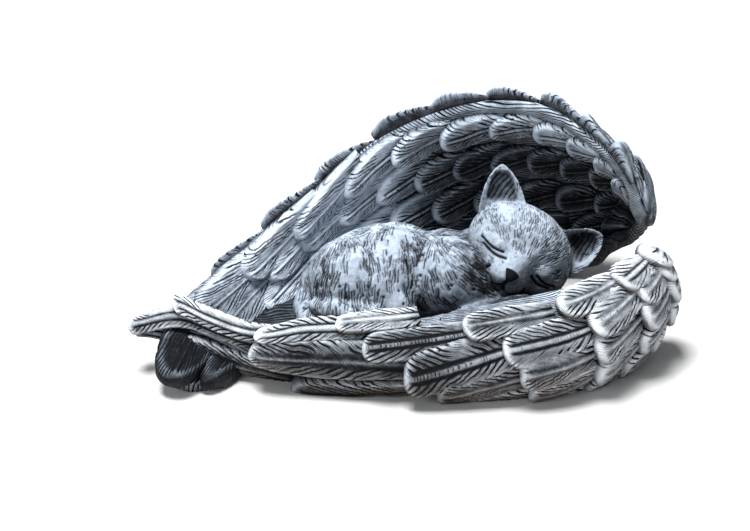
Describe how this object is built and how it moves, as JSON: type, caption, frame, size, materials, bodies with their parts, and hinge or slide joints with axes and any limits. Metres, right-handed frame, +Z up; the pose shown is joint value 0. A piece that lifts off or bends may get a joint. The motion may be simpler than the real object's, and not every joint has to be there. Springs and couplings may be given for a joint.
{
  "type": "pet memorial statue",
  "caption": "Cast stone garden ornament of a cat asleep on a flat base, curled between a low front wing and a tall back wing that arches over its head.",
  "frame": {"origin": "on the flat underside, under the cat's body", "axes": "+X along the nest from the crossed wing tips to the wings' shoulders, +Y from the low front wing to the tall back wing, +Z up"},
  "size_m": [0.2802, 0.1554, 0.117],
  "materials": {
    "cast_stone": null
  },
  "bodies": {
    "root": {"cat_in_angel_wings": "cast_stone"}
  },
  "joints": []
}
